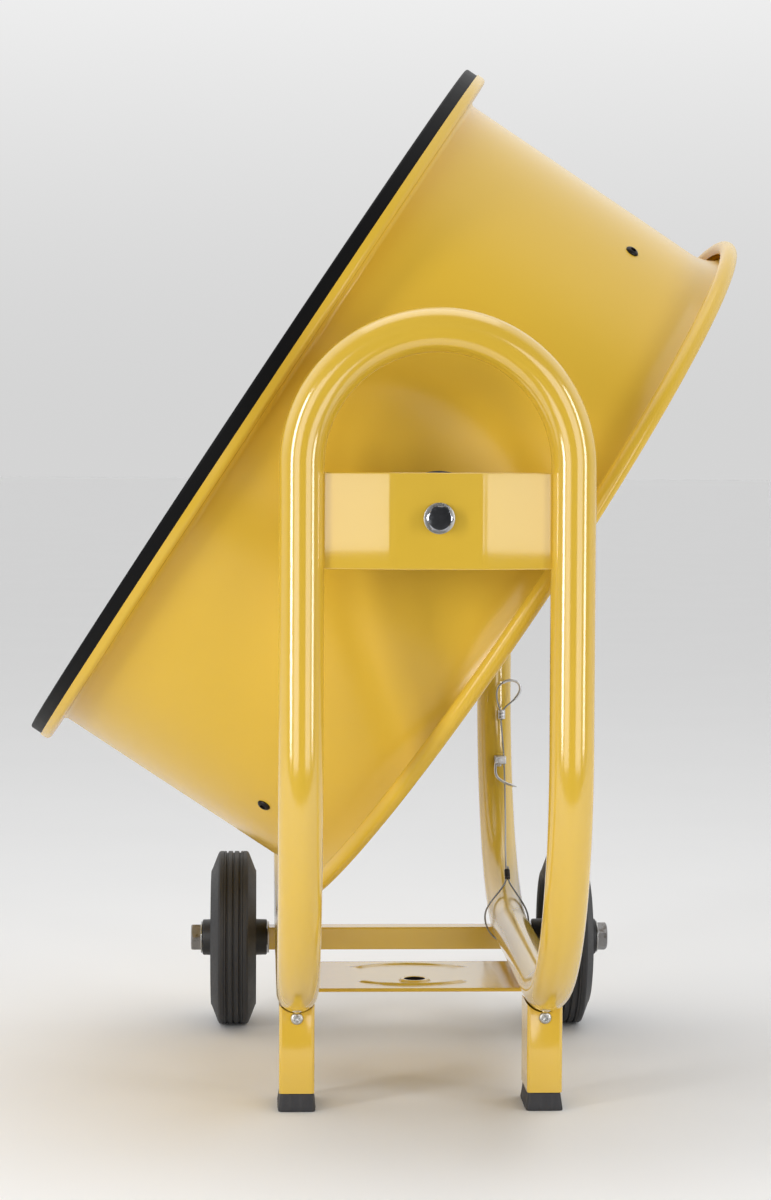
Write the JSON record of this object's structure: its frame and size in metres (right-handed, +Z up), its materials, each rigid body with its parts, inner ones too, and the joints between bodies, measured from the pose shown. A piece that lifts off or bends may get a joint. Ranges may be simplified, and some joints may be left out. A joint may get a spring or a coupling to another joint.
{
  "type": "tilting drum fan",
  "caption": "Large tilting drum fan on a tubular stand with two bent arches, two feet and two wheels; round yellow drum with flat wire guards, friction pivots and a short wire tether.",
  "frame": {"origin": "floor level, under the centre of the outline box", "axes": "+Z up; +Y along the tilt axis, from the feet to the wheels; +X across the stand, away from the raised front of the drum"},
  "size_m": [0.57, 0.7478, 0.8189],
  "materials": {
    "yellow_enamel": "gloss powder coat",
    "black_enamel": "satin black powder coat",
    "motor_enamel": "satin enamel",
    "foot_rubber": "matt",
    "tyre_rubber": "matt, fine ribs",
    "black_plastic": "moulded, fine grain",
    "zinc_steel": "bright zinc",
    "chrome_bolt": "polished",
    "dull_zinc": "dull zinc, worn",
    "cast_aluminium": "as cast",
    "blade_aluminium": "rolled sheet",
    "rope_steel": "galvanised strand",
    "winding_steel": "laminated"
  },
  "bodies": {
    "stand": {"arch_near": "yellow_enamel", "arch_far": "yellow_enamel", "base_tube_left": "yellow_enamel", "base_tube_right": "yellow_enamel", "foot_post_left": "yellow_enamel", "foot_post_right": "yellow_enamel", "foot_tip_left": "foot_rubber", "foot_tip_right": "foot_rubber", "foot_screws": "zinc_steel", "axle_bar": "yellow_enamel", "axle_end_plugs": "zinc_steel", "wheel_bolts": "dull_zinc", "wheel_washers": "zinc_steel", "base_plate": "yellow_enamel", "pivot_bracket_near": "yellow_enamel", "pivot_bracket_far": "yellow_enamel", "tether_rope": "rope_steel", "tether_ferrule_lower": "cast_aluminium", "tether_ferrule_upper": "cast_aluminium", "tether_clip": "cast_aluminium"},
    "wheel_left": {"tyre_left": "tyre_rubber", "wheel_core_left": "black_plastic"},
    "wheel_right": {"tyre_right": "tyre_rubber", "wheel_core_right": "black_plastic"},
    "fan": {"motor_shaft": "zinc_steel", "motor_rotor": "winding_steel", "fan_hub": "cast_aluminium", "fan_blade_1": "blade_aluminium", "fan_blade_2": "blade_aluminium", "fan_blade_3": "blade_aluminium"},
    "knob": {"speed_knob": "black_plastic"},
    "drum": {"drum_shell": "yellow_enamel", "front_band": "black_enamel", "front_guard_rings": "black_enamel", "front_guard_spokes": "black_enamel", "rear_guard_rings": "black_enamel", "rear_guard_spokes": "black_enamel", "motor_bar_near": "black_enamel", "motor_bar_far": "black_enamel", "motor_straps": "black_enamel", "bar_standoffs": "black_enamel", "pivot_bosses": "black_enamel", "pivot_plates": "black_enamel", "motor_housing": "motor_enamel", "front_guard_disc": "black_plastic", "rear_guard_disc": "black_plastic", "friction_discs": "black_plastic", "switch_box": "black_plastic", "rotary_switch": "black_plastic", "cable_gland": "black_plastic", "motor_capacitor": "black_plastic", "pivot_washers": "zinc_steel", "pivot_nuts": "zinc_steel", "motor_bearings": "zinc_steel", "pivot_bolts": "chrome_bolt", "drum_screws": "dull_zinc", "motor_cap_front": "cast_aluminium", "motor_cap_rear": "cast_aluminium", "motor_stator": "winding_steel"}
  },
  "joints": [
    {"name": "drum_tilt", "type": "hinge", "parent": "stand", "child": "drum", "pos_m": [0.0258, 0, 0.463], "axis": [0, 1, 0], "range_deg": [-123.4, 56.6]},
    {"name": "fan_spin", "type": "hinge", "parent": "drum", "child": "fan", "pos_m": [0.0258, 0, 0.463], "axis": [0.8348, 0, -0.5505], "continuous": true},
    {"name": "wheel_left_spin", "type": "hinge", "parent": "stand", "child": "wheel_left", "pos_m": [-0.1222, 0.191, 0.0766], "axis": [1, 0, 0], "continuous": true},
    {"name": "wheel_right_spin", "type": "hinge", "parent": "stand", "child": "wheel_right", "pos_m": [0.1738, 0.191, 0.0766], "axis": [1, 0, 0], "continuous": true},
    {"name": "speed_knob_turn", "type": "hinge", "parent": "drum", "child": "knob", "pos_m": [0.1446, 0.29682, 0.60683], "axis": [0.2917, 0.848, 0.4424], "range_deg": [0, 180]}
  ]
}
